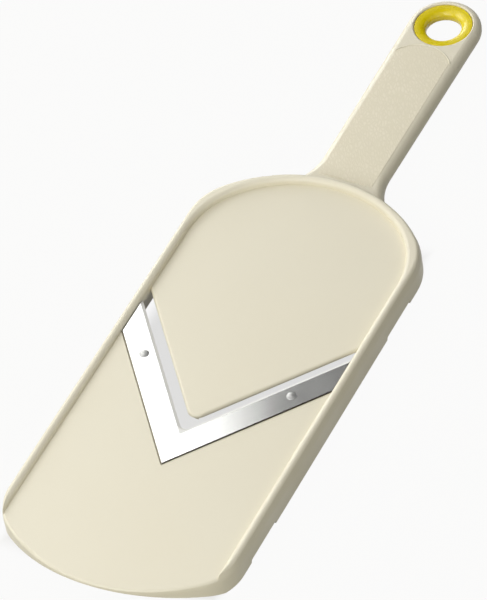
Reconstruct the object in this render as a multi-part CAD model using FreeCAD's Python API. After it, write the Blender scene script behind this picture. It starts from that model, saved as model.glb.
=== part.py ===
"""Hand-held V-blade slicer: one moulded body with raised side rails, a riveted V blade over an open
slot, and a flat hollow handle that ends in a lined hanging hole. Millimetres, +Z up, deck side up.

The origin is the middle of the footprint, on the surface that the slicer stands on. +Y runs to the
handle. Food is pushed from the feed deck (handle side) over the blade to the landing deck."""

import FreeCAD, Part
import math
import os
from FreeCAD import Vector

# --- Plan of the body -------------------------------------------------------------------------
BODY_WIDTH = 100.0  # outside of the two side walls
BODY_LENGTH = 219.6  # discharge end to the crown of the arch
END_RADIUS = 68.0  # long curve of the discharge end
CORNER_RADIUS = 20.0  # between the discharge end and the sides
SHOULDER_RADIUS = 25.5  # outside of the arch at the handle end, beside the crown
CROWN_FLATNESS = 10.0  # outer crown radius less half the body's width
CHANNEL_SHOULDER_RADIUS = 36.0  # inside of the rail, which is thickest at the shoulders
CHANNEL_CROWN_FLATNESS = 6.0  # inner crown radius less half the channel's width
# --- Heights and walls of the body ------------------------------------------------------------
SKIRT_DEPTH = 9.6  # standing surface up to the landing deck
RAIL_RISE = 2.3  # rail crest above the landing deck
RAIL_WIDTH = 4.0
RAIL_LEAN = 0.9  # the outer side leans in by this, up to the crest
RAIL_LEAN_DEPTH = 3.6  # crest down to where it starts to lean
RAIL_KNEE_ROUND = 6.0  # where it starts to lean
RAIL_OUTER_ROUND = 1.5
RAIL_CREST = 0.12  # level stretch along the top, at least
RAIL_FOOT = 0.1  # upright stretch at the foot of the inner side, at least
FEED_DROP = 0.7  # feed deck below landing deck
DECK_THICKNESS = 2.2
WALL = 2.4  # side wall below the decks
SKIRT_EDGE_ROUND = 0.7
POCKET_ROUND = 1.0  # inner corner between wall and deck, underneath
# --- Discharge end: the wall runs out to a thin lip -------------------------------------------
RUNOUT_LENGTH = 21.5
LIP_THICKNESS = 1.4
LIP_ROUND = 1.3
# --- Notches that sit on the rim of a bowl ----------------------------------------------------
NOTCH_LENGTH = 21.0
NOTCH_HEIGHT = 1.8
NOTCH_ROUND = 0.8
NOTCH_FROM_END = (47.5, 167.0)  # discharge end to the middle of each notch
# --- V blade and the slot ---------------------------------------------------------------------
V_FROM_END = 61.8  # discharge end to the point of the blade seat
V_HALF_ANGLE = 39.3  # each leg from the centre line, degrees
BLADE_WIDTH = 10.9  # across one leg
BLADE_THICKNESS = 0.8
BLADE_TIP_ROUND = 3.0  # inner corner of the cutting edge
BEVEL_WIDTH = 1.2  # ground along the top of the cutting edge
BEVEL_DEPTH = 0.6
SEAT_DEPTH = 0.4
SEAT_CLEARANCE = 0.45  # round the blade in its seat
GROOVE_DEPTH = 0.9  # below the seat, round the back and ends of the blade
BLADE_OVERHANG = 2.4  # cutting edge beyond its ledge
SLOT_WIDTH = 4.3  # cutting edge to feed edge, across a leg
FEED_TIP_ROUND = 4.5
FEED_EDGE_ROUND = 1.1
FEED_EDGE_RELIEF = 0.8  # slope under the feed edge
SEAT_EDGE_ROUND = 0.3  # deck edge beside the blade seat
# --- Rivets and washers -----------------------------------------------------------------------
RIVET_FROM_SIDE = 18.0
RIVET_SHANK_RADIUS = 1.2
RIVET_HOLE_CLEARANCE = 0.1
RIVET_HEAD_RADIUS = 2.0
RIVET_HEAD_HEIGHT = 0.35
RIVET_TAIL_RADIUS = 1.8
RIVET_TAIL_HEIGHT = 0.6
WASHER_RADIUS = 2.6
WASHER_THICKNESS = 0.5
# --- Ribs under the decks ---------------------------------------------------------------------
RIB_THICKNESS = 1.5
FEED_RIB_DEPTH = 2.0
FEED_RIB_SPACING = 30.0
LANDING_RIB_DEPTH = 1.2
LANDING_RIB_SPACING = 24.0
LANDING_RIB_END_GAP = 9.0  # discharge end to the ribs
LANDING_RIB_LENGTH = 38.0
# --- Handle -----------------------------------------------------------------------------------
HANDLE_END_RADIUS = 15.5
HANDLE_TAPER = 0.45  # each side narrows towards the root, degrees
HANDLE_TOP = 6.8
HANDLE_BASE = 0.4
HANDLE_TOP_ROUND = 3.4
HANDLE_BASE_ROUND = 2.0
FLARE_RADIUS = 24.0
FLARE_SINK = 0.4  # how far the flare runs into the arch
RING_FROM_CROWN = 97.4  # crown of the arch to the hanging hole
ROOF_THICKNESS = 2.0
HOLLOW_WIDTH = 22.4
HOLLOW_FROM_CROWN = 3.0
HOLLOW_TO_RING = 1.5  # wall left between the hollow and the ring's seat
# --- Soft grip pad let into the top of the handle ---------------------------------------------
PAD_WIDTH = 24.0
PAD_THICKNESS = 1.0
PAD_PROUD = 0.2
PAD_EDGE_ROUND = 0.25
PAD_TO_RING = 1.6  # end of the pad to the ring's flange
PAD_END_RADIUS = 14.2
PAD_FROM_CROWN = 4.0
# --- Cover under the handle -------------------------------------------------------------------
COVER_THICKNESS = 1.5
COVER_LAND = 1.0  # ledge that the cover sits on
COVER_CLEARANCE = 0.1
COVER_EDGE_ROUND = 0.3
BOSS_RADIUS = 2.8
BOSS_PAD = 0.5  # raised pad of the cover under each boss
SCREW_FROM_CROWN = (10.0, 62.0)
SCREW_RADIUS = 1.1
SCREW_HOLE_CLEARANCE = 0.2
SCREW_HEAD_RADIUS = 2.0
SCREW_HEAD_HEIGHT = 0.9
SCREW_HEAD_ROUND = 0.3
SCREW_HEAD_CLEARANCE = 0.2
SCREW_RECESS = 1.1
SCREW_GRIP = 2.5  # length in the boss
SCREW_END_GAP = 0.2
CROSS_WIDTH = 0.5
CROSS_DEPTH = 0.5
CROSS_REACH = 1.2
# --- Two-part lining of the hanging hole ------------------------------------------------------
RING_HOLE_RADIUS = 7.3
RING_FLANGE_RADIUS = 12.0
RING_BARREL_RADIUS = 9.8
RING_FIT = 0.15
RING_FLANGE_THICKNESS = 1.0
RING_SUNK = 0.5  # top flange below the handle's top
RING_RIM_ROUND = 0.7  # edge of the handle round the sunk flange
RING_LIP = 0.6  # flat edge round the funnel
RING_LAND = 1.2  # straight stretch at the waist
COLLAR_PROUD = 0.2
RING_EDGE_ROUND = 0.3

# --- Places worked out from the sizes above ---------------------------------------------------
HALF_WIDTH = BODY_WIDTH / 2
OVERALL_LENGTH = BODY_LENGTH + RING_FROM_CROWN + HANDLE_END_RADIUS
END_Y = -OVERALL_LENGTH / 2
CROWN_Y = END_Y + BODY_LENGTH
RING_Y = CROWN_Y + RING_FROM_CROWN
SEAT_Y = END_Y + V_FROM_END
CHANNEL_HALF = HALF_WIDTH - RAIL_WIDTH
CROWN_RADIUS = HALF_WIDTH + CROWN_FLATNESS
CHANNEL_CROWN_RADIUS = CHANNEL_HALF + CHANNEL_CROWN_FLATNESS
LANDING_TOP = SKIRT_DEPTH
FEED_TOP = LANDING_TOP - FEED_DROP
CREST = LANDING_TOP + RAIL_RISE
RAIL_TURN = math.pi / 2 - math.atan2(RAIL_LEAN, RAIL_LEAN_DEPTH)  # outer side to crest
RAIL_SHOULDER = RAIL_LEAN + RAIL_OUTER_ROUND * math.tan(RAIL_TURN / 2)  # outside to the crest
RAIL_INNER_ROUND = min(RAIL_WIDTH - RAIL_SHOULDER - RAIL_CREST, RAIL_RISE - RAIL_FOOT)
LANDING_UNDER = LANDING_TOP - DECK_THICKNESS
FEED_UNDER = FEED_TOP - DECK_THICKNESS
SEAT_FLOOR = LANDING_TOP - SEAT_DEPTH
BLADE_TOP = SEAT_FLOOR + BLADE_THICKNESS
BLADE_BACK = SEAT_CLEARANCE
CUTTING_EDGE = BLADE_BACK + BLADE_WIDTH
LEDGE_EDGE = CUTTING_EDGE - BLADE_OVERHANG
FEED_EDGE = CUTTING_EDGE + SLOT_WIDTH
RIVET_X = HALF_WIDTH - RIVET_FROM_SIDE
END_CENTRE_Y = END_Y + END_RADIUS
CORNER_X = HALF_WIDTH - CORNER_RADIUS
CORNER_Y = END_CENTRE_Y - math.sqrt((END_RADIUS - CORNER_RADIUS) ** 2 - CORNER_X**2)
CORNER_ANGLE = math.degrees(math.atan2(CORNER_Y - END_CENTRE_Y, CORNER_X))
ROOF_UNDER = HANDLE_TOP - ROOF_THICKNESS
COVER_TOP = HANDLE_BASE + COVER_THICKNESS
COVER_HALF = HOLLOW_WIDTH / 2 + COVER_LAND
BOSS_FOOT = COVER_TOP + BOSS_PAD
RECESS_ROOF = HANDLE_BASE + SCREW_RECESS
PAD_TOP = HANDLE_TOP + PAD_PROUD
PAD_FLOOR = PAD_TOP - PAD_THICKNESS
PAD_END_Y = RING_Y - RING_FLANGE_RADIUS - PAD_TO_RING
RING_TOP = HANDLE_TOP - RING_SUNK
COLLAR_BASE = HANDLE_BASE - COLLAR_PROUD
WAIST = (RING_TOP + COLLAR_BASE) / 2
FAR = 4 * BODY_WIDTH  # safely outside the model
NEAR = 1e-3  # places closer than this are the same
UP = Vector(0, 0, 1)


# --- Small tools ------------------------------------------------------------------------------
def line(x1, y1, x2, y2, z):
    return Part.makeLine(Vector(x1, y1, z), Vector(x2, y2, z))


def arc(x, y, radius, start, end, z):
    """Arc about (x, y), anticlockwise from start to end in degrees."""
    return Part.makeCircle(radius, Vector(x, y, z), UP, start, end)


def face(edges):
    return Part.Face(Part.Wire(edges))


def prism(flat, top):
    """Solid from a flat face up to the height top."""
    return flat.extrude(Vector(0, 0, top - flat.BoundBox.ZMin))


def box(x1, x2, y1, y2, z1, z2):
    return Part.makeBox(x2 - x1, y2 - y1, z2 - z1, Vector(x1, y1, z1))


def post(x, y, radius, z1, z2):
    return Part.makeCylinder(radius, z2 - z1, Vector(x, y, z1))


def fuse(shapes):
    return shapes[0].multiFuse(shapes[1:]).removeSplitter()


def flat_edges(solid, z, wanted):
    """The edges that lie flat at height z and whose bounds are wanted."""
    edges = []
    for edge in solid.Edges:
        bounds = edge.BoundBox
        if max(abs(bounds.ZMin - z), abs(bounds.ZMax - z)) < NEAR and wanted(bounds):
            edges.append(edge)
    return edges


def rounded(solid, radius, z, wanted=lambda bounds: True):
    """Rounds the edges that lie flat at height z and whose bounds are wanted."""
    return solid.makeFillet(radius, flat_edges(solid, z, wanted))


def turned(profile, x, y):
    """Solid of revolution from a closed list of edges in the XZ plane, set upright at (x, y)."""
    solid = Part.Face(Part.Wire(profile)).revolve(Vector(0, 0, 0), UP, 360)
    solid = Part.Solid(solid) if solid.ShapeType == "Shell" else solid
    solid.translate(Vector(x, y, 0))
    return solid


def section_line(r1, z1, r2, z2):
    return Part.makeLine(Vector(r1, 0, z1), Vector(r2, 0, z2))


def section_arc(r1, z1, rm, zm, r2, z2):
    return Part.Arc(Vector(r1, 0, z1), Vector(rm, 0, zm), Vector(r2, 0, z2)).toShape()


# --- Outlines ---------------------------------------------------------------------------------
def arch(half, crown_y, shoulder_radius, crown_radius, z):
    """Where an arch between straight sides springs, and its edges from right to left."""
    centre_y = crown_y - crown_radius
    shoulder_x = half - shoulder_radius
    rise = math.sqrt((crown_radius - shoulder_radius) ** 2 - shoulder_x**2)
    spring_y = centre_y + rise
    turn = math.degrees(math.atan2(rise, shoulder_x))
    edges = [
        arc(shoulder_x, spring_y, shoulder_radius, 0, turn, z),
        arc(0, centre_y, crown_radius, turn, 180 - turn, z),
        arc(-shoulder_x, spring_y, shoulder_radius, 180 - turn, 180, z),
    ]
    return spring_y, edges


def body_face(inset, z):
    """The body's whole outline, moved inwards by inset."""
    half = HALF_WIDTH - inset
    corner = CORNER_RADIUS - inset
    spring_y, edges = arch(half, CROWN_Y - inset, SHOULDER_RADIUS - inset, CROWN_RADIUS - inset, z)
    edges.insert(0, line(half, CORNER_Y, half, spring_y, z))
    edges += [
        line(-half, spring_y, -half, CORNER_Y, z),
        arc(-CORNER_X, CORNER_Y, corner, 180, 180 - CORNER_ANGLE, z),
        arc(0, END_CENTRE_Y, END_RADIUS - inset, 180 - CORNER_ANGLE, 360 + CORNER_ANGLE, z),
        arc(CORNER_X, CORNER_Y, corner, 360 + CORNER_ANGLE, 360, z),
    ]
    return face(edges)


def channel_face(grown, z):
    """The space between the rails, grown by a margin: closed by the arch, open past the discharge end."""
    half = CHANNEL_HALF + grown
    crown_y = CROWN_Y - RAIL_WIDTH + grown
    shoulder_radius = CHANNEL_SHOULDER_RADIUS + grown
    spring_y, edges = arch(half, crown_y, shoulder_radius, CHANNEL_CROWN_RADIUS + grown, z)
    low = END_Y - BODY_WIDTH
    edges.insert(0, line(half, low, half, spring_y, z))
    edges += [line(-half, spring_y, -half, low, z), line(-half, low, half, low, z)]
    return face(edges)


def leg_y(offset, x):
    """Y of the line that runs parallel to a blade leg, offset across the leg, at distance x."""
    half_angle = math.radians(V_HALF_ANGLE)
    return SEAT_Y + offset / math.sin(half_angle) + x / math.tan(half_angle)


def v_edges(offset, tip_round, half, z):
    """Right-to-left edges of a V at an offset from the seat line, out to x = half."""
    edge_y = leg_y(offset, half)
    if tip_round == 0:
        tip_y = leg_y(offset, 0)
        return [line(half, edge_y, 0, tip_y, z), line(0, tip_y, -half, edge_y, z)]
    half_angle = math.radians(V_HALF_ANGLE)
    tip_x = tip_round * math.cos(half_angle)
    tip_y = leg_y(offset, tip_x)
    centre_y = tip_y + tip_round * math.sin(half_angle)
    return [
        line(half, edge_y, tip_x, tip_y, z),
        arc(0, centre_y, tip_round, 180 + V_HALF_ANGLE, 360 - V_HALF_ANGLE, z),
        line(-tip_x, tip_y, -half, edge_y, z),
    ]


def wedge(offset, tip_round, half, z1, z2):
    """Everything on the handle side of a V line."""
    edge_y = leg_y(offset, half)
    edges = v_edges(offset, tip_round, half, z1)
    edges += [
        line(-half, edge_y, -half, FAR, z1),
        line(-half, FAR, half, FAR, z1),
        line(half, FAR, half, edge_y, z1),
    ]
    return prism(face(Part.sortEdges(edges)[0]), z2)


def v_band(near, near_round, far, far_round, half, z1, z2):
    """The V-shaped band between two offsets."""
    return wedge(near, near_round, half, z1, z2).cut(wedge(far, far_round, half + 1, z1 - 1, z2 + 1))


def handle_face(z):
    """The handle's outline: round end, slightly tapered sides, flared root ending inside the arch."""
    taper = math.radians(HANDLE_TAPER)
    outward = Vector(math.cos(taper), -math.sin(taper), 0)
    along = Vector(math.sin(taper), math.cos(taper), 0)
    arch_centre = Vector(0, CROWN_Y - CROWN_RADIUS, 0)
    end_centre = Vector(0, RING_Y, 0)
    beside = end_centre + outward * (HANDLE_END_RADIUS + FLARE_RADIUS)
    reach = CROWN_RADIUS + FLARE_RADIUS - FLARE_SINK
    run = beside - arch_centre
    back = run.dot(along) - math.sqrt(run.dot(along) ** 2 - run.dot(run) + reach**2)
    flare_centre = beside - along * back
    foot_turn = math.atan2(flare_centre.y - arch_centre.y, flare_centre.x)
    foot = flare_centre - Vector(math.cos(foot_turn), math.sin(foot_turn), 0) * FLARE_RADIUS
    start = flare_centre - outward * FLARE_RADIUS
    end = end_centre + outward * HANDLE_END_RADIUS
    foot_angle = math.degrees(foot_turn)
    flare = (flare_centre.x, flare_centre.y, FLARE_RADIUS)
    mirrored = (-flare_centre.x, flare_centre.y, FLARE_RADIUS)
    return face(
        [
            arc(*flare, 180 - HANDLE_TAPER, 180 + foot_angle, z),
            line(start.x, start.y, end.x, end.y, z),
            arc(0, RING_Y, HANDLE_END_RADIUS, -HANDLE_TAPER, 180 + HANDLE_TAPER, z),
            line(-end.x, end.y, -start.x, start.y, z),
            arc(*mirrored, -foot_angle, HANDLE_TAPER, z),
            line(-foot.x, foot.y, foot.x, foot.y, z),
        ]
    )


def long_pocket_face(half, start_y, z):
    """Straight-sided field along the handle, square at its root and round about the ring."""
    return face(
        [
            line(-half, start_y, half, start_y, z),
            line(half, start_y, half, RING_Y, z),
            arc(0, RING_Y, half, 0, 180, z),
            line(-half, RING_Y, -half, start_y, z),
        ]
    )


def pad_face(inset, z):
    """The grip pad: straight sides, with a round end that follows the ring."""
    half = PAD_WIDTH / 2 - inset
    start_y = CROWN_Y + PAD_FROM_CROWN + inset
    end_radius = PAD_END_RADIUS - inset
    centre_y = PAD_END_Y - PAD_END_RADIUS
    side_angle = math.degrees(math.acos(half / end_radius))
    side_y = centre_y + end_radius * math.sin(math.radians(side_angle))
    return face(
        [
            line(-half, start_y, half, start_y, z),
            line(half, start_y, half, side_y, z),
            arc(0, centre_y, end_radius, side_angle, 180 - side_angle, z),
            line(-half, side_y, -half, start_y, z),
        ]
    )


# --- Body -------------------------------------------------------------------------------------
def outer_shell():
    """The outline as a solid block, its sides leaning in and rounded over to the rails' crest."""
    shell = prism(body_face(0, 0), CREST)
    shell = shell.makeChamfer(RAIL_LEAN_DEPTH, RAIL_LEAN, flat_edges(shell, CREST, lambda bounds: True))
    shell = rounded(shell, RAIL_OUTER_ROUND, CREST)
    shell = rounded(shell, RAIL_KNEE_ROUND, CREST - RAIL_LEAN_DEPTH)
    return rounded(shell, SKIRT_EDGE_ROUND, 0)


def rail_cutter(floor):
    """Clears the space between the rails down to floor, and rounds their inner sides."""
    shaft = prism(channel_face(0, floor), CREST)
    mouth = prism(channel_face(RAIL_WIDTH, CREST), CREST + RAIL_WIDTH)
    return rounded(
        shaft.fuse(mouth), RAIL_INNER_ROUND, CREST,
        lambda bounds: max(-bounds.XMin, bounds.XMax) < CHANNEL_HALF + NEAR and bounds.YMax > END_Y,
    )


def lip_rounding():
    """Material outside the rounded top edge of the landing deck."""
    stock = rounded(prism(body_face(0, 0), LANDING_TOP), LIP_ROUND, LANDING_TOP)
    return prism(channel_face(0, LANDING_TOP - LIP_ROUND), CREST).cut(stock)


def feed_edge_trimming():
    """Material outside the feed edge, which is rounded on top and relieved below."""
    deck = wedge(FEED_EDGE, FEED_TIP_ROUND, BODY_WIDTH, FEED_UNDER, FEED_TOP)
    front_y = leg_y(FEED_EDGE, BODY_WIDTH)
    deck = rounded(deck, FEED_EDGE_ROUND, FEED_TOP, lambda bounds: bounds.YMax < front_y + NEAR)
    under = flat_edges(deck, FEED_UNDER, lambda bounds: bounds.YMax < front_y + NEAR)
    deck = deck.makeChamfer(FEED_EDGE_RELIEF, under)
    trimmed = max(FEED_EDGE_ROUND, FEED_EDGE_RELIEF)
    band = v_band(
        FEED_EDGE, FEED_TIP_ROUND, FEED_EDGE + trimmed, FEED_TIP_ROUND - trimmed,
        CHANNEL_HALF, FEED_UNDER, CREST,
    )
    return band.cut(deck)


def seat_edge_rounding():
    """Material outside the rounded edge of the landing deck along the blade seat."""
    deck = box(-FAR, FAR, -FAR, FAR, LANDING_UNDER, LANDING_TOP).cut(wedge(0, 0, 2 * FAR, -1, CREST))
    deck = rounded(
        deck, SEAT_EDGE_ROUND, LANDING_TOP,
        lambda bounds: bounds.YMin > SEAT_Y - NEAR and min(bounds.XLength, bounds.YLength) > NEAR,
    )
    band = v_band(-SEAT_EDGE_ROUND, 0, 0, 0, CHANNEL_HALF, LANDING_TOP - SEAT_EDGE_ROUND, CREST)
    return band.cut(deck)


def runout():
    """Clears below the side wall where it rises to the thin lip of the discharge end."""
    far = HALF_WIDTH + 1
    lip_z = LANDING_TOP - LIP_THICKNESS
    corners = [
        Vector(-far, END_Y + RUNOUT_LENGTH, 0),
        Vector(-far, END_Y, lip_z),
        Vector(-far, END_Y - 1, lip_z),
        Vector(-far, END_Y - 1, -1),
        Vector(-far, END_Y + RUNOUT_LENGTH, -1),
    ]
    return Part.Face(Part.makePolygon(corners + corners[:1])).extrude(Vector(2 * far, 0, 0))


def ribs():
    """Stiffening ribs under both decks."""
    parts = []
    half = RIB_THICKNESS / 2
    landing_start = END_Y + LANDING_RIB_END_GAP
    for x in (-LANDING_RIB_SPACING, 0, LANDING_RIB_SPACING):
        low = LANDING_UNDER - LANDING_RIB_DEPTH
        end_y = landing_start + LANDING_RIB_LENGTH
        parts.append(box(x - half, x + half, landing_start, end_y, low, LANDING_UNDER + 1))
    feed_low = FEED_UNDER - FEED_RIB_DEPTH
    for x in (-FEED_RIB_SPACING, 0, FEED_RIB_SPACING):
        start_y = leg_y(FEED_EDGE, abs(x)) + FEED_TIP_ROUND
        parts.append(box(x - half, x + half, start_y, CROWN_Y, feed_low, FEED_UNDER + 1))
    return fuse(parts)


def under_pocket():
    """The hollow under the decks, with the ribs left standing."""
    slot_middle = (LEDGE_EDGE + FEED_EDGE) / 2
    landing = rounded(prism(body_face(WALL, -1), LANDING_UNDER), POCKET_ROUND, LANDING_UNDER)
    landing = landing.cut(wedge(slot_middle, 0, HALF_WIDTH, -2, CREST))
    feed = rounded(prism(body_face(WALL, -1), FEED_UNDER), POCKET_ROUND, FEED_UNDER)
    return landing.fuse(feed).cut(ribs())


def notches():
    """Shallow cuts under both walls, where the slicer rests on the rim of a bowl."""
    parts = []
    for from_end in NOTCH_FROM_END:
        y = END_Y + from_end
        far = HALF_WIDTH + 1
        cut = box(-far, far, y - NOTCH_LENGTH / 2, y + NOTCH_LENGTH / 2, -1, NOTCH_HEIGHT)
        parts.append(rounded(cut, NOTCH_ROUND, NOTCH_HEIGHT, lambda bounds: bounds.YLength < NEAR))
    return Part.makeCompound(parts)


def handle_stock():
    """The handle as a solid bar with rounded edges."""
    bar = prism(handle_face(HANDLE_BASE), HANDLE_TOP)
    root_y = min(vertex.Y for vertex in bar.Vertexes)
    bar = rounded(bar, HANDLE_TOP_ROUND, HANDLE_TOP, lambda bounds: bounds.YMax > root_y + NEAR)
    return rounded(bar, HANDLE_BASE_ROUND, HANDLE_BASE, lambda bounds: bounds.YMax > root_y + NEAR)


def ring_seat():
    """Sunk seat of the ring's flange, opening through a rounded rim."""
    radius = RING_FLANGE_RADIUS + RING_FIT
    floor = RING_TOP - RING_FLANGE_THICKNESS
    rim_z = HANDLE_TOP - RING_RIM_ROUND
    rim_radius = radius + RING_RIM_ROUND
    middle_r = rim_radius - RING_RIM_ROUND * math.sqrt(0.5)
    middle_z = rim_z + RING_RIM_ROUND * math.sqrt(0.5)
    profile = [
        section_line(0, floor, radius, floor),
        section_line(radius, floor, radius, rim_z),
        section_arc(radius, rim_z, middle_r, middle_z, rim_radius, HANDLE_TOP),
        section_line(rim_radius, HANDLE_TOP, rim_radius, CREST),
        section_line(rim_radius, CREST, 0, CREST),
        section_line(0, CREST, 0, floor),
    ]
    return turned(profile, 0, RING_Y)


def handle_hollow():
    """The handle's inside with its screw bosses left standing, and the seats for pad, cover and ring."""
    start_y = CROWN_Y + HOLLOW_FROM_CROWN
    half = HOLLOW_WIDTH / 2
    end_y = RING_Y - RING_FLANGE_RADIUS - HOLLOW_TO_RING
    hollow = box(-half, half, start_y, end_y, COVER_TOP - 1, ROOF_UNDER)
    cover_seat = prism(long_pocket_face(COVER_HALF, start_y - COVER_LAND, -1), COVER_TOP)
    for from_crown in SCREW_FROM_CROWN:
        boss = post(0, CROWN_Y + from_crown, BOSS_RADIUS, BOSS_FOOT, HANDLE_TOP)
        hollow = hollow.cut(boss)
        pilot = post(0, CROWN_Y + from_crown, SCREW_RADIUS, 0, BOSS_FOOT + SCREW_GRIP + SCREW_END_GAP)
        hollow = hollow.fuse(pilot)
    pad_seat = prism(pad_face(0, PAD_FLOOR), CREST)
    barrel = post(0, RING_Y, RING_BARREL_RADIUS + RING_FIT, -1, CREST)
    collar_top = COLLAR_BASE + RING_FLANGE_THICKNESS
    collar = post(0, RING_Y, RING_FLANGE_RADIUS + RING_FIT, -1, collar_top)
    return fuse([hollow, cover_seat, pad_seat, barrel, ring_seat(), collar])


def blade_seat():
    """Room for the blade on its ledge, with a groove below along its back and ends."""
    seat = v_band(0, 0, LEDGE_EDGE, 0, CHANNEL_HALF, SEAT_FLOOR, LANDING_TOP)
    block = v_band(BLADE_BACK, 0, LEDGE_EDGE, 0, CHANNEL_HALF - SEAT_CLEARANCE, -1, CREST)
    groove = v_band(0, 0, LEDGE_EDGE, 0, CHANNEL_HALF, SEAT_FLOOR - GROOVE_DEPTH, LANDING_TOP)
    return seat.fuse(groove.cut(block))


def slicer_body():
    body = outer_shell().fuse(handle_stock())
    body = body.cut(rail_cutter(LANDING_TOP))
    slot_middle = (LEDGE_EDGE + FEED_EDGE) / 2
    body = body.cut(rail_cutter(FEED_TOP).common(wedge(slot_middle, 0, BODY_WIDTH, -1, 2 * CREST)))
    body = body.cut(lip_rounding())
    body = body.cut(under_pocket())
    body = body.cut(runout())
    body = body.cut(notches())
    body = body.cut(handle_hollow())
    body = body.cut(blade_seat())
    body = body.cut(v_band(LEDGE_EDGE, 0, FEED_EDGE, FEED_TIP_ROUND, CHANNEL_HALF, -1, CREST))
    body = body.cut(feed_edge_trimming())
    body = body.cut(seat_edge_rounding())
    for side in (-1, 1):
        body = body.cut(rivet_hole(side))
    return body.removeSplitter()


# --- Blade and rivets -------------------------------------------------------------------------
def rivet_place(side):
    middle = (BLADE_BACK + CUTTING_EDGE) / 2
    return side * RIVET_X, leg_y(middle, RIVET_X)


def rivet_hole(side):
    x, y = rivet_place(side)
    return post(x, y, RIVET_SHANK_RADIUS + RIVET_HOLE_CLEARANCE, -1, CREST)


def v_blade():
    half = CHANNEL_HALF - SEAT_CLEARANCE
    blade = v_band(BLADE_BACK, 0, CUTTING_EDGE, BLADE_TIP_ROUND, half, SEAT_FLOOR, BLADE_TOP)
    cutting_tip_y = SEAT_Y + BLADE_WIDTH
    cutting = flat_edges(
        blade, BLADE_TOP, lambda bounds: bounds.YMin > cutting_tip_y and bounds.XLength > SEAT_CLEARANCE
    )
    blade = blade.makeChamfer(BEVEL_WIDTH, BEVEL_DEPTH, cutting)
    return blade.cut(rivet_hole(-1)).cut(rivet_hole(1))


def blade_rivet(side):
    """Domed head on the blade, shank through blade and ledge, tail spread on the washer."""
    x, y = rivet_place(side)
    washer_under = LANDING_UNDER - WASHER_THICKNESS
    tail = washer_under - RIVET_TAIL_HEIGHT
    crown = BLADE_TOP + RIVET_HEAD_HEIGHT
    dome_radius = (RIVET_HEAD_RADIUS**2 + RIVET_HEAD_HEIGHT**2) / (2 * RIVET_HEAD_HEIGHT)
    half_turn = math.asin(RIVET_HEAD_RADIUS / dome_radius) / 2
    middle_r = dome_radius * math.sin(half_turn)
    middle_z = crown - dome_radius * (1 - math.cos(half_turn))
    profile = [
        section_line(0, tail, RIVET_TAIL_RADIUS, tail),
        section_line(RIVET_TAIL_RADIUS, tail, RIVET_TAIL_RADIUS, washer_under),
        section_line(RIVET_TAIL_RADIUS, washer_under, RIVET_SHANK_RADIUS, washer_under),
        section_line(RIVET_SHANK_RADIUS, washer_under, RIVET_SHANK_RADIUS, BLADE_TOP),
        section_line(RIVET_SHANK_RADIUS, BLADE_TOP, RIVET_HEAD_RADIUS, BLADE_TOP),
        section_arc(RIVET_HEAD_RADIUS, BLADE_TOP, middle_r, middle_z, 0, crown),
        section_line(0, crown, 0, tail),
    ]
    return turned(profile, x, y)


def rivet_washer(side):
    x, y = rivet_place(side)
    low = LANDING_UNDER - WASHER_THICKNESS
    return post(x, y, WASHER_RADIUS, low, LANDING_UNDER).cut(rivet_hole(side))


# --- Handle parts -----------------------------------------------------------------------------
def grip_pad():
    pad = prism(pad_face(0, PAD_FLOOR), PAD_TOP)
    return rounded(pad, PAD_EDGE_ROUND, PAD_TOP)


def handle_cover():
    start_y = CROWN_Y + HOLLOW_FROM_CROWN - COVER_LAND + COVER_CLEARANCE
    plate = prism(long_pocket_face(COVER_HALF - COVER_CLEARANCE, start_y, HANDLE_BASE), COVER_TOP)
    plate = rounded(plate, COVER_EDGE_ROUND, HANDLE_BASE)
    for from_crown in SCREW_FROM_CROWN:
        y = CROWN_Y + from_crown
        plate = plate.fuse(post(0, y, BOSS_RADIUS, COVER_TOP - COVER_EDGE_ROUND, BOSS_FOOT))
        plate = plate.cut(post(0, y, SCREW_RADIUS + SCREW_HOLE_CLEARANCE, -1, CREST))
        plate = plate.cut(post(0, y, SCREW_HEAD_RADIUS + SCREW_HEAD_CLEARANCE, -1, RECESS_ROOF))
    plate = plate.cut(post(0, RING_Y, RING_BARREL_RADIUS + RING_FIT, -1, CREST))
    seat_top = COLLAR_BASE + RING_FLANGE_THICKNESS
    plate = plate.cut(post(0, RING_Y, RING_FLANGE_RADIUS + RING_FIT, -1, seat_top))
    return plate.removeSplitter()


def cover_screw(from_crown):
    """Pan-head screw with a cross recess, driven up into its boss."""
    y = CROWN_Y + from_crown
    head_base = RECESS_ROOF - SCREW_HEAD_HEIGHT
    head = rounded(post(0, y, SCREW_HEAD_RADIUS, head_base, RECESS_ROOF), SCREW_HEAD_ROUND, head_base)
    shank = post(0, y, SCREW_RADIUS, RECESS_ROOF - CROSS_DEPTH / 2, BOSS_FOOT + SCREW_GRIP)
    screw = head.fuse(shank)
    half = CROSS_WIDTH / 2
    top = head_base + CROSS_DEPTH
    cross = box(-CROSS_REACH, CROSS_REACH, y - half, y + half, -1, top)
    cross = cross.fuse(box(-half, half, y - CROSS_REACH, y + CROSS_REACH, -1, top))
    return screw.cut(cross).removeSplitter()


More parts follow.
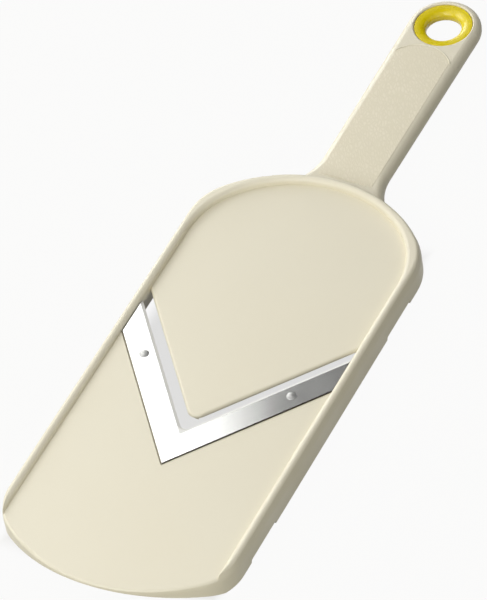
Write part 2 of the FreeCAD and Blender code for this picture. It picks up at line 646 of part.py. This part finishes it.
def funnel_profile(outer_z, flange_inner_z):
    """Half of the ring's section: flange, barrel, waist land and the mouth that flares as an ellipse."""
    land_z = WAIST + math.copysign(RING_LAND / 2, outer_z - WAIST)
    mouth = RING_FLANGE_RADIUS - RING_LIP
    inner = RING_HOLE_RADIUS
    flare = Part.BezierCurve()
    flare.setPoles([Vector(mouth, 0, outer_z), Vector(inner, 0, outer_z), Vector(inner, 0, land_z)])
    flare.setWeight(2, math.sqrt(0.5))
    return [
        section_line(inner, WAIST, RING_BARREL_RADIUS, WAIST),
        section_line(RING_BARREL_RADIUS, WAIST, RING_BARREL_RADIUS, flange_inner_z),
        section_line(RING_BARREL_RADIUS, flange_inner_z, RING_FLANGE_RADIUS, flange_inner_z),
        section_line(RING_FLANGE_RADIUS, flange_inner_z, RING_FLANGE_RADIUS, outer_z),
        section_line(RING_FLANGE_RADIUS, outer_z, mouth, outer_z),
        flare.toShape(),
        section_line(inner, land_z, inner, WAIST),
    ]


def hanging_ring():
    profile = funnel_profile(RING_TOP, RING_TOP - RING_FLANGE_THICKNESS)
    return rounded(turned(profile, 0, RING_Y), RING_EDGE_ROUND, RING_TOP)


def ring_collar():
    profile = funnel_profile(COLLAR_BASE, COLLAR_BASE + RING_FLANGE_THICKNESS)
    return rounded(turned(profile, 0, RING_Y), RING_EDGE_ROUND, COLLAR_BASE)


# --- Assembly ---------------------------------------------------------------------------------
def build():
    nodes = {
        "slicer_body": slicer_body(),
        "v_blade": v_blade(),
        "grip_pad": grip_pad(),
        "handle_cover": handle_cover(),
        "hanging_ring": hanging_ring(),
        "ring_collar": ring_collar(),
    }
    for name, side in (("left", -1), ("right", 1)):
        nodes["blade_rivet_" + name] = blade_rivet(side)
        nodes["rivet_washer_" + name] = rivet_washer(side)
    for name, from_crown in zip(("front", "rear"), SCREW_FROM_CROWN):
        nodes["cover_screw_" + name] = cover_screw(from_crown)
    return nodes


os.makedirs("parts", exist_ok=True)
for node, shape in build().items():
    shape.exportStep(os.path.join("parts", node + ".step"))
    bounds = shape.BoundBox
    print(
        f"{node:20s} solids {len(shape.Solids)} valid {shape.isValid()} volume {shape.Volume:.1f}"
        f" z {bounds.ZMin:.2f}..{bounds.ZMax:.2f} y {bounds.YMin:.2f}..{bounds.YMax:.2f}"
    )
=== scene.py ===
"""Looks of the hand-held V-blade slicer, built round its packed construction. Metres, +Z up.

Every moulded and metal piece gets its finish, and the soft grip panel is modelled with its grain."""

import math

import bmesh
import bpy
from mathutils import Matrix, Vector


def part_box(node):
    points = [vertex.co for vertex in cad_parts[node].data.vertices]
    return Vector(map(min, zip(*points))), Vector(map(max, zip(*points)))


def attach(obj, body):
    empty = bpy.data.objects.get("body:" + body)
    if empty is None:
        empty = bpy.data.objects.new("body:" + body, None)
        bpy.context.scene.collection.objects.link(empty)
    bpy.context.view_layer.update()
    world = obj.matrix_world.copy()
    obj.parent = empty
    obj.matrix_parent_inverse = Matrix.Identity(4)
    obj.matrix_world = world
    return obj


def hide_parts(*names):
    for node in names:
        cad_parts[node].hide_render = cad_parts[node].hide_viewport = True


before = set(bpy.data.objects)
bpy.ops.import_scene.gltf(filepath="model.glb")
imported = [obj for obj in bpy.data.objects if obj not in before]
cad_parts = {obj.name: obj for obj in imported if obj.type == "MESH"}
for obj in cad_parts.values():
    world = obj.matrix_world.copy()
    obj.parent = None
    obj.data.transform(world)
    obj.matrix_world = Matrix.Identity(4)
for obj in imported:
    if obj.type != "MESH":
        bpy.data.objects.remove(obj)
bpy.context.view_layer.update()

MM = 0.001

# --- Colours, as seen in plain light (sRGB, 0 to 255) ------------------------------------------
CREAM = (231, 225, 203)
CREAM_WARM = (228, 219, 193)
GRIP_CREAM = (235, 227, 204)
GRIP_VALLEY = (227, 219, 194)
YELLOW = (233, 214, 12)
YELLOW_DEEP = (224, 200, 2)
STEEL = (226, 226, 223)
STEEL_DULL = (203, 203, 200)
STEEL_GROUND = (234, 233, 227)  # bevel
SHEARED_PAINTED_DARK = (92, 88, 82)  # sheared edges, painted dark to stand in for the shade and dark reflection they show
RIVET = (176, 176, 173)
RIVET_DULL = (150, 150, 147)
WASHER = (205, 206, 206)
WASHER_DULL = (176, 177, 178)
ZINC = (190, 193, 196)
ZINC_DULL = (160, 164, 168)
FLOOR_WARM = (138, 132, 98)  # what the floor throws back on the object

# --- Body -------------------------------------------------------------------------------------
HANDLE_FROM_Y = (53 * MM, 56 * MM)  # where the decks' finish passes into the handle's
SHARP_ANGLE = math.radians(40)

# --- Blade ------------------------------------------------------------------------------------
V_HALF_ANGLE = math.radians(39.3)  # each leg from the centre line
BLADE_WIDTH = 10.9 * MM
BEVEL_WIDTH = 1.2 * MM  # ground strip along the cutting edge
BEVEL_BLUR = 0.05 * MM  # each side of the line where the grinding starts

# --- Grip panel -------------------------------------------------------------------------------
PANEL_END_RADIUS = 14.2 * MM
PANEL_EDGE_ROUND = 0.15 * MM
PANEL_ROUND_STEPS = 3
PANEL_CROWN = 0.12 * MM  # the middle stands this much above the sides
PANEL_COLUMNS = 56
PANEL_ROWS = 200
BEAD_RADIUS = 0.3 * MM  # moulded bead round the panel's ring end
BEAD_STEPS = 48
BEAD_SIDES = 10
GRAIN_LEAN = math.radians(-26)

# --- Camera -----------------------------------------------------------------------------------
VIEW_AZIMUTH = math.radians(34.085)
VIEW_ELEVATION = math.radians(46.667)
VIEW_ROLL = math.radians(-10.485)
VIEW_TARGET = Vector((-9.95, -14.28, 6.0)) * MM
VIEW_DISTANCE = 2.02145
LENS = 309.9
SENSOR = 36.0
VIEW_REACH = 20.0

# --- Floor ------------------------------------------------------------------------------------
FLOOR_HALF = 6.0
FLOOR_GAP = 0.05 * MM  # below the standing surface
FLOOR_SHOWN = 0.95  # white that the camera sees added to the floor
SHADE_SHOWN = 0.72  # the same under the slicer
SHADE_HALF_WIDTH = (40 * MM, 48 * MM)  # where the one passes into the other
SHADE_HALF_LENGTH = (85 * MM, 100 * MM)
SHADE_MIDDLE_Y = -58 * MM

# --- Card that the blade's right leg reflects -------------------------------------------------
FLAG_PLACE = Vector((-0.231, 0.271, 0.446))  # in the blade's mirror direction from the camera
FLAG_ACROSS = Vector((0.828, 0.560, 0.0))
FLAG_UP = Vector((0.407, -0.602, 0.686))
FLAG_INSET = 0.001  # its near side, across from FLAG_PLACE
FLAG_WIDTH = 0.8
FLAG_HEIGHT = 1.1
FLAG_GLOW = 0.01

# --- Light ------------------------------------------------------------------------------------
DOME_STRENGTH = 0.03
LAMPS = (  # name, place in metres, side in metres, watts
    ("left_low_lamp", (-1.15, -0.35, 0.45), 0.7, 1.6),
    ("left_lamp", (-1.0, 0.0, 0.85), 0.7, 4.6),
    ("back_left_lamp", (-0.9, 0.95, 0.4), 0.7, 7.5),
    ("back_lamp", (-0.54, 0.80, 1.02), 0.7, 2.4),
    ("front_lamp", (-0.12, -1.1, 0.8), 0.8, 8.8),
    ("right_low_lamp", (0.75, -0.45, 0.12), 0.4, 1.8),
    ("front_top_lamp", (-0.1, -0.75, 1.25), 0.8, 2.4),
    ("top_lamp", (-0.35, 0.05, 1.4), 1.6, 3.9),
)


# --- Node trees -------------------------------------------------------------------------------
def linear(colour):
    """Linear RGBA of an sRGB colour."""
    values = []
    for channel in colour:
        share = channel / 255
        values.append(share / 12.92 if share <= 0.04045 else ((share + 0.055) / 1.055) ** 2.4)
    return (*values, 1.0)


class Finish:
    """A material and the few kinds of node that it is built from."""

    def __init__(self, name, roughness, metallic=0.0, specular=0.5):
        self.material = bpy.data.materials.new(name)
        self.material.use_nodes = True
        self.nodes = self.material.node_tree.nodes
        self.links = self.material.node_tree.links
        self.shader = self.nodes["Principled BSDF"]
        self.shader.inputs["Roughness"].default_value = roughness
        self.shader.inputs["Metallic"].default_value = metallic
        self.shader.inputs["Specular IOR Level"].default_value = specular
        self.place = self.add("ShaderNodeTexCoord").outputs["Object"]
        split = self.add("ShaderNodeSeparateXYZ", Vector=self.place)
        self.x, self.y, self.z = split.outputs

    def put(self, socket, value):
        """Links or sets one input."""
        if isinstance(value, bpy.types.NodeSocket):
            self.links.new(value, socket)
        else:
            socket.default_value = value

    def add(self, kind, settings=(), **inputs):
        """A node of this kind, with its settings and its inputs by name."""
        node = self.nodes.new(kind)
        for name, value in dict(settings).items():
            setattr(node, name, value)
        for name, value in inputs.items():
            self.put(node.inputs[name.replace("_", " ")], value)
        return node

    def math(self, operation, *values):
        """The result of one sum on numbers or sockets."""
        node = self.nodes.new("ShaderNodeMath")
        node.operation = operation
        for socket, value in zip(node.inputs, values):
            self.put(socket, value)
        return node.outputs[0]

    def span(self, value, low, high, out_low=0.0, out_high=1.0):
        """Value taken smoothly from low..high to out_low..out_high."""
        settings = {"interpolation_type": "SMOOTHSTEP"}
        node = self.add("ShaderNodeMapRange", settings, Value=value)
        for index, number in enumerate((low, high, out_low, out_high)):
            node.inputs[index + 1].default_value = number
        return node.outputs[0]

    def stretched(self, scale, vector=None):
        """Coordinates scaled differently along each axis."""
        source = self.place if vector is None else vector
        return self.add("ShaderNodeMapping", Vector=source, Scale=scale).outputs[0]

    def noise(self, scale, detail=2.0, vector=None, rough=0.5):
        source = self.place if vector is None else vector
        node = self.add("ShaderNodeTexNoise", Vector=source, Scale=scale, Detail=detail, Roughness=rough)
        return node.outputs["Fac"]

    def cells(self, scale, vector):
        """Distance to the nearest edge between cells."""
        settings = {"feature": "DISTANCE_TO_EDGE"}
        return self.add("ShaderNodeTexVoronoi", settings, Vector=vector, Scale=scale).outputs[0]

    def vector(self, x, y, z=0.0):
        return self.add("ShaderNodeCombineXYZ", X=x, Y=y, Z=z).outputs[0]

    def blend(self, share, first, second):
        """Colour between two colours."""
        node = self.add("ShaderNodeMix", {"data_type": "RGBA"})
        self.put(node.inputs[0], share)
        for index, colour in ((6, first), (7, second)):
            self.put(node.inputs[index], linear(colour) if isinstance(colour, tuple) else colour)
        return node.outputs[2]

    def bump(self, height, distance, below=None):
        """Relief of this height in metres, over the relief below it."""
        node = self.add("ShaderNodeBump", Height=height, Distance=distance)
        if below is not None:
            self.put(node.inputs["Normal"], below)
        return node.outputs[0]

    def wear(self, colour, roughness, normal):
        """Sets the three things that vary over the surface."""
        self.put(self.shader.inputs["Base Color"], colour)
        self.put(self.shader.inputs["Roughness"], roughness)
        self.put(self.shader.inputs["Normal"], normal)
        return self.material


# --- Finishes ---------------------------------------------------------------------------------
def cream_plastic():
    """Satin moulded plastic, with a fine spark grain on the handle and faint slicing marks on the decks."""
    f = Finish("cream_plastic", 0.42)
    on_handle = f.span(f.y, *HANDLE_FROM_Y)
    facing = f.add("ShaderNodeSeparateXYZ", Vector=f.add("ShaderNodeNewGeometry").outputs["Normal"])
    up = f.span(facing.outputs["Z"], 0.7, 0.95)
    drift = f.noise(scale=14, detail=3)
    colour = f.blend(f.math("MULTIPLY", drift, 0.55), CREAM, CREAM_WARM)
    streaks = f.noise(scale=1, detail=2, vector=f.stretched((1500, 14, 1)))
    marks = f.math("MULTIPLY", f.span(streaks, 0.66, 0.74), up)
    mottle = f.noise(scale=70, detail=3)
    roughness = f.math("ADD", f.span(mottle, 0.3, 0.7, 0.36, 0.46), f.math("MULTIPLY", marks, -0.06))
    grain = f.math("MULTIPLY", f.noise(scale=1700, detail=2), on_handle)
    normal = f.bump(f.noise(scale=900, detail=2), distance=0.006 * MM)
    normal = f.bump(grain, distance=0.05 * MM, below=normal)
    normal = f.bump(marks, distance=-0.004 * MM, below=normal)
    return f.wear(colour, roughness, normal)


def cover_plastic():
    """Spark-grained plastic of the cover under the handle."""
    f = Finish("cover_plastic", 0.5)
    colour = f.blend(f.math("MULTIPLY", f.noise(scale=22, detail=3), 0.7), CREAM, CREAM_WARM)
    normal = f.bump(f.noise(scale=1900, detail=3), distance=0.05 * MM)
    return f.wear(colour, f.span(f.noise(scale=120, detail=2), 0.3, 0.7, 0.46, 0.56), normal)


def grip_rubber():
    """Soft-touch panel with a faint leather grain of small leaves that lean to one side."""
    f = Finish("grip_rubber", 0.6, specular=0.3)
    turned = f.add("ShaderNodeVectorRotate", Vector=f.place, Angle=GRAIN_LEAN).outputs[0]
    wander = f.noise(scale=300, detail=2)
    pulled = f.add("ShaderNodeVectorMath", {"operation": "ADD"})
    f.put(pulled.inputs[0], f.stretched((1.0, 0.4, 1.0), turned))
    sideways = f.math("MULTIPLY", wander, 0.9 * MM)
    lengthways = f.math("MULTIPLY", wander, 0.5 * MM)
    f.put(pulled.inputs[1], f.vector(sideways, lengthways))
    cell = f.cells(900, pulled.outputs[0])
    pebble = f.span(cell, 0.02, 0.34)
    fine = f.noise(scale=2600, detail=2)
    patch = f.span(f.noise(scale=55, detail=2), 0.35, 0.65, 0.45, 1.0)
    colour = f.blend(f.math("MULTIPLY", pebble, patch), GRIP_VALLEY, GRIP_CREAM)
    normal = f.bump(pebble, distance=0.035 * MM)
    normal = f.bump(fine, distance=0.01 * MM, below=normal)
    return f.wear(colour, f.span(f.noise(scale=90, detail=2), 0.3, 0.7, 0.54, 0.66), normal)


def yellow_plastic():
    """Glossy moulded lining, with faint flow lines round the hole."""
    f = Finish("yellow_plastic", 0.26)
    f.shader.inputs["Coat Weight"].default_value = 0.15
    colour = f.blend(f.math("MULTIPLY", f.noise(scale=60, detail=2), 0.8), YELLOW, YELLOW_DEEP)
    roughness = f.span(f.noise(scale=240, detail=2), 0.3, 0.7, 0.2, 0.34)
    return f.wear(colour, roughness, f.bump(f.noise(scale=700, detail=2), distance=0.01 * MM))


def blade_steel():
    """Stainless strip, ground along each leg: a duller bevel at the cutting edge, and rougher sheared edges
    painted dark as shade and dark reflection.
    """
    f = Finish("blade_steel", 0.2, metallic=1.0)
    f.shader.inputs["Anisotropic"].default_value = 0.5
    side = f.math("SIGN", f.x)
    width = f.math("ABSOLUTE", f.x)
    sine, cosine = math.sin(V_HALF_ANGLE), math.cos(V_HALF_ANGLE)
    along = f.math("ADD", f.math("MULTIPLY", width, sine), f.math("MULTIPLY", f.y, cosine))
    across = f.math("SUBTRACT", f.math("MULTIPLY", f.y, sine), f.math("MULTIPLY", width, cosine))
    leg = f.vector(along, across)
    f.put(f.shader.inputs["Tangent"], f.vector(f.math("MULTIPLY", side, -cosine), sine))
    lines = f.noise(scale=1, detail=3, vector=f.stretched((22, 5200, 1), leg), rough=0.7)
    cloud = f.noise(scale=26, detail=3)
    cutting_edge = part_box("v_blade")[0].y * sine + BLADE_WIDTH
    ground_from = cutting_edge - BEVEL_WIDTH
    bevel = f.span(across, ground_from - BEVEL_BLUR, ground_from + BEVEL_BLUR)
    facing = f.add("ShaderNodeSeparateXYZ", Vector=f.add("ShaderNodeNewGeometry").outputs["Normal"])
    # Upright faces (the sheared edges) are rougher, and their colour is painted dark: painted shade and dark
    # reflection.
    sheared_sides_painted_dark = f.span(f.math("ABSOLUTE", facing.outputs["Z"]), 0.3, 0.6, 1.0, 0.0)
    colour = f.blend(f.span(lines, 0.3, 0.7, 0.0, 0.6), STEEL, STEEL_DULL)
    colour = f.blend(bevel, colour, STEEL_GROUND)
    f.put(f.shader.inputs["Metallic"], f.math("SUBTRACT", 1.0, bevel))
    colour = f.blend(sheared_sides_painted_dark, colour, SHEARED_PAINTED_DARK)
    roughness = f.math("ADD", f.span(cloud, 0.3, 0.7, 0.17, 0.23), f.math("MULTIPLY", lines, 0.06))
    roughness = f.math("ADD", roughness, f.math("MULTIPLY", f.math("MAXIMUM", bevel, sheared_sides_painted_dark), 0.4))
    return f.wear(colour, roughness, f.bump(lines, distance=0.004 * MM))


def bright_metal(name, colour, dull, roughness, relief):
    """Small formed or plated metal piece."""
    f = Finish(name, roughness, metallic=1.0)
    spots = f.noise(scale=900, detail=3)
    shade = f.blend(f.span(spots, 0.35, 0.7), colour, dull)
    worn = f.span(spots, 0.3, 0.7, roughness - 0.06, roughness + 0.1)
    return f.wear(shade, worn, f.bump(f.noise(scale=1500, detail=2), relief))


# --- Grip panel -------------------------------------------------------------------------------
def grip_panel(low, high):
    """A thin soft panel with straight sides, a round end that follows the ring, and a crowned face."""
    half = (high.x - low.x) / 2
    length = high.y - low.y
    mesh = bmesh.new()
    bmesh.ops.create_grid(mesh, x_segments=PANEL_COLUMNS, y_segments=PANEL_ROWS, size=0.5)
    for vert in mesh.verts:
        across, share = vert.co.x * 2, vert.co.y + 0.5
        x = across * half
        drop = PANEL_END_RADIUS - math.sqrt(PANEL_END_RADIUS**2 - x**2)
        crown = PANEL_CROWN * across**2
        vert.co = Vector((x, low.y + share * (length - drop), high.z - crown))
    rim = [edge for edge in mesh.edges if edge.is_boundary]
    wall = bmesh.ops.extrude_edge_only(mesh, edges=rim)["geom"]
    for vert in (item for item in wall if isinstance(item, bmesh.types.BMVert)):
        vert.co.z = low.z
    bmesh.ops.holes_fill(mesh, edges=[edge for edge in mesh.edges if edge.is_boundary])
    bmesh.ops.recalc_face_normals(mesh, faces=mesh.faces)
    bmesh.ops.bevel(
        mesh, geom=rim, offset=PANEL_EDGE_ROUND, offset_type="OFFSET", segments=PANEL_ROUND_STEPS,
        profile=0.5, affect="EDGES", material=-1,
    )
    return finished("grip_panel", mesh)


def grip_bead(low, high):
    """The bead that the panel's ring end is moulded against."""
    half = (high.x - low.x) / 2
    turn = math.asin(half / PANEL_END_RADIUS)
    centre = Vector((0, high.y - PANEL_END_RADIUS, 0))
    mesh = bmesh.new()
    ring = bmesh.ops.create_circle(mesh, segments=BEAD_SIDES, radius=BEAD_RADIUS)["verts"]
    upright = Matrix.Rotation(math.pi / 2, 4, "X")
    out = Matrix.Translation((PANEL_END_RADIUS + BEAD_RADIUS, 0, high.z - BEAD_RADIUS / 2))
    start = Matrix.Translation(centre) @ Matrix.Rotation(math.pi / 2 - turn, 4, "Z")
    bmesh.ops.transform(mesh, matrix=start @ out @ upright, verts=ring)
    bmesh.ops.spin(
        mesh, geom=mesh.edges[:], cent=centre, axis=(0, 0, 1), angle=2 * turn, steps=BEAD_STEPS,
        use_merge=False,
    )
    bmesh.ops.holes_fill(mesh, edges=[edge for edge in mesh.edges if edge.is_boundary])
    bmesh.ops.recalc_face_normals(mesh, faces=mesh.faces)
    return finished("grip_panel_bead", mesh)


def finished(name, mesh):
    """An object at the origin from a bmesh, shaded smooth but for its sharp corners."""
    data = bpy.data.meshes.new(name)
    mesh.to_mesh(data)
    mesh.free()
    data.polygons.foreach_set("use_smooth", [True] * len(data.polygons))
    data.set_sharp_from_angle(angle=SHARP_ANGLE)
    return piece_of(name, data)


def piece_of(name, data):
    piece = bpy.data.objects.new(name, data)
    bpy.context.scene.collection.objects.link(piece)
    return piece


# --- Stage ------------------------------------------------------------------------------------
def view_axes():
    """Right, up and back of the camera."""
    back = Vector((
        math.sin(VIEW_AZIMUTH) * math.cos(VIEW_ELEVATION),
        -math.cos(VIEW_AZIMUTH) * math.cos(VIEW_ELEVATION),
        math.sin(VIEW_ELEVATION),
    ))
    right = Vector((0, 0, 1)).cross(back).normalized()
    turn = Matrix.Rotation(VIEW_ROLL, 3, back)
    right = turn @ right
    return right, back.cross(right), back


def camera():
    """The camera, at its viewing angle and far enough off to keep lines nearly parallel."""
    right, up, back = view_axes()
    data = bpy.data.cameras.new("view")
    data.sensor_width = SENSOR
    data.lens = LENS
    data.clip_end = VIEW_REACH
    viewer = piece_of("view", data)
    rotation = Matrix((right, up, back)).transposed().to_4x4()
    viewer.matrix_world = Matrix.Translation(VIEW_TARGET + back * VIEW_DISTANCE) @ rotation
    bpy.context.scene.camera = viewer


def lamp(name, place, size, power):
    """A square soft lamp aimed at the middle of the object."""
    data = bpy.data.lights.new(name, "AREA")
    data.size = size
    data.energy = power
    holder = piece_of(name, data)
    place = Vector(place)
    holder.location = place
    holder.rotation_euler = place.to_track_quat("Z", "Y").to_euler()


def shown_white(tree, share):
    """The share of plain white that camera and mirror rays see added, and other rays don't."""
    nodes, links = tree.nodes, tree.links
    path = nodes.new("ShaderNodeLightPath")
    seen = None
    for ray in ("Is Camera Ray", "Is Glossy Ray", "Is Transmission Ray"):
        if seen is None:
            seen = path.outputs[ray]
            continue
        either = nodes.new("ShaderNodeMath")
        either.operation = "MAXIMUM"
        links.new(seen, either.inputs[0])
        links.new(path.outputs[ray], either.inputs[1])
        seen = either.outputs[0]
    scaled = nodes.new("ShaderNodeMath")
    scaled.operation = "MULTIPLY"
    links.new(seen, scaled.inputs[0])
    if isinstance(share, bpy.types.NodeSocket):
        links.new(share, scaled.inputs[1])
    else:
        scaled.inputs[1].default_value = share
    return scaled.outputs[0]


def studio_world(strength):
    """Plain white round the object, that lights it only faintly."""
    world = bpy.data.worlds.new("studio")
    world.use_nodes = True
    bpy.context.scene.world = world
    tree = world.node_tree
    nodes, links = tree.nodes, tree.links
    dome = nodes["Background"]
    dome.inputs["Strength"].default_value = strength
    dome.inputs["Color"].default_value = (1, 1, 1, 1)
    white = nodes.new("ShaderNodeBackground")
    white.inputs["Color"].default_value = (1, 1, 1, 1)
    mix = nodes.new("ShaderNodeMixShader")
    links.new(shown_white(tree, 1.0), mix.inputs[0])
    links.new(dome.outputs[0], mix.inputs[1])
    links.new(white.outputs[0], mix.inputs[2])
    links.new(mix.outputs[0], nodes["World Output"].inputs["Surface"])


def floor():
    """A plain floor, clear from below, that keeps a deeper shade where the slot looks down on it."""
    mesh = bmesh.new()
    sunk = Matrix.Translation((0, 0, -FLOOR_GAP))
    bmesh.ops.create_grid(mesh, x_segments=1, y_segments=1, size=FLOOR_HALF, matrix=sunk)
    data = bpy.data.meshes.new("floor")
    mesh.to_mesh(data)
    mesh.free()
    plane = piece_of("floor", data)
    f = Finish("floor_white", 0.9, specular=0.0)
    f.shader.inputs["Base Color"].default_value = linear(FLOOR_WARM)
    beside = f.span(f.math("ABSOLUTE", f.x), *SHADE_HALF_WIDTH)
    along = f.math("ABSOLUTE", f.math("SUBTRACT", f.y, SHADE_MIDDLE_Y))
    outside = f.math("MAXIMUM", beside, f.span(along, *SHADE_HALF_LENGTH))
    share = f.math("MULTIPLY_ADD", outside, FLOOR_SHOWN - SHADE_SHOWN, SHADE_SHOWN)
    glow = f.add("ShaderNodeEmission")
    mix = f.add("ShaderNodeMixShader")
    parts = (shown_white(f.material.node_tree, share), f.shader.outputs[0], glow.outputs[0])
    for socket, part in zip(mix.inputs, parts):
        f.put(socket, part)
    clear = f.add("ShaderNodeMixShader", Fac=f.add("ShaderNodeNewGeometry").outputs["Backfacing"])
    f.put(clear.inputs[1], mix.outputs[0])
    f.put(clear.inputs[2], f.add("ShaderNodeBsdfTransparent").outputs[0])
    f.put(f.nodes["Material Output"].inputs["Surface"], clear.outputs[0])
    data.materials.append(f.material)


def flag():
    """A dark card beside the lamps, seen only in the blade: it shades the far end of the right leg."""
    middle = FLAG_PLACE + FLAG_ACROSS * (FLAG_INSET + FLAG_WIDTH / 2)
    facing = FLAG_ACROSS.cross(FLAG_UP)
    sides = Matrix((FLAG_ACROSS * FLAG_WIDTH, FLAG_UP * FLAG_HEIGHT, facing)).transposed().to_4x4()
    mesh = bmesh.new()
    spread = Matrix.Translation(middle) @ sides
    bmesh.ops.create_grid(mesh, x_segments=1, y_segments=1, size=0.5, matrix=spread)
    data = bpy.data.meshes.new("flag")
    mesh.to_mesh(data)
    mesh.free()
    card = piece_of("flag", data)
    material = bpy.data.materials.new("flag_grey")
    material.use_nodes = True
    tree = material.node_tree
    glow = tree.nodes.new("ShaderNodeEmission")
    glow.inputs["Strength"].default_value = FLAG_GLOW
    tree.links.new(glow.outputs[0], tree.nodes["Material Output"].inputs["Surface"])
    data.materials.append(material)
    card.visible_camera = False
    card.visible_diffuse = False
    card.visible_shadow = False
    card.visible_transmission = False


def studio():
    camera()
    floor()
    studio_world(DOME_STRENGTH)
    flag()
    for name, place, size, power in LAMPS:
        lamp(name, place, size, power)
    bpy.context.scene.view_settings.view_transform = "Standard"


# --- Assembly ---------------------------------------------------------------------------------
def paint(node, material):
    """Puts a finish in the slots of a CAD piece."""
    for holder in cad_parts[node].material_slots:
        holder.material = material


def dress():
    """Gives every CAD piece its finish, and builds the soft panel in place of its plain solid."""
    rivet = bright_metal("rivet_steel", RIVET, RIVET_DULL, 0.46, 0.01 * MM)
    washer = bright_metal("washer_steel", WASHER, WASHER_DULL, 0.32, 0.006 * MM)
    screw = bright_metal("screw_steel", ZINC, ZINC_DULL, 0.3, 0.008 * MM)
    yellow = yellow_plastic()
    finishes = {
        "slicer_body": cream_plastic(),
        "v_blade": blade_steel(),
        "handle_cover": cover_plastic(),
        "hanging_ring": yellow,
        "ring_collar": yellow,
    }
    for side in ("left", "right"):
        finishes[f"blade_rivet_{side}"] = rivet
        finishes[f"rivet_washer_{side}"] = washer
    for end in ("front", "rear"):
        finishes[f"cover_screw_{end}"] = screw
    for node, material in finishes.items():
        paint(node, material)
    body_plastic = finishes["slicer_body"]
    pieces = (
        (grip_panel, grip_rubber(), "grip_rubber"),
        (grip_bead, body_plastic, "cream_plastic"),
    )
    for make, material, slot in pieces:
        piece = make(*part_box("grip_pad"))
        piece.data.materials.append(material)
        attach(piece, "root")
        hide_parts("grip_pad")


dress()
studio()
